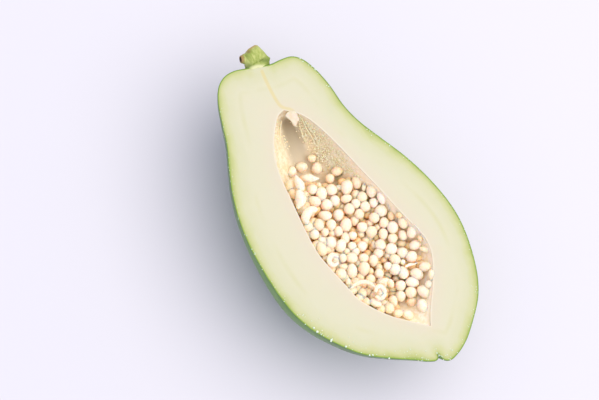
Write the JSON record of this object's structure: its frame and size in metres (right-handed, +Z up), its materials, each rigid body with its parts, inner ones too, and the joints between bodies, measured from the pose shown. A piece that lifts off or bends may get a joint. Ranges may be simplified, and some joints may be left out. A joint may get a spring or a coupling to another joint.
{
  "type": "halved green papaya",
  "caption": "Half of an unripe papaya cut lengthwise, cut face up, with its stalk stub, pale flesh and a hollow partly filled with round white seeds.",
  "frame": {"origin": "bottom centre of the bounding box, on the surface that the curved back rests on", "axes": "+X along the fruit from its stalk end to its blossom end, +Z up out of the flat cut face, +Y across the cut face"},
  "size_m": [0.2292, 0.1298, 0.0636],
  "materials": {
    "flesh": "moist, satin, pale cream-green flesh inside a thin glossy green skin",
    "seed": "moist, satin cream white",
    "stem": "matt yellow-green, browned where it was broken off"
  },
  "bodies": {
    "root": {"fruit_half": "flesh", "seeds": "seed", "stem": "stem"}
  },
  "joints": []
}
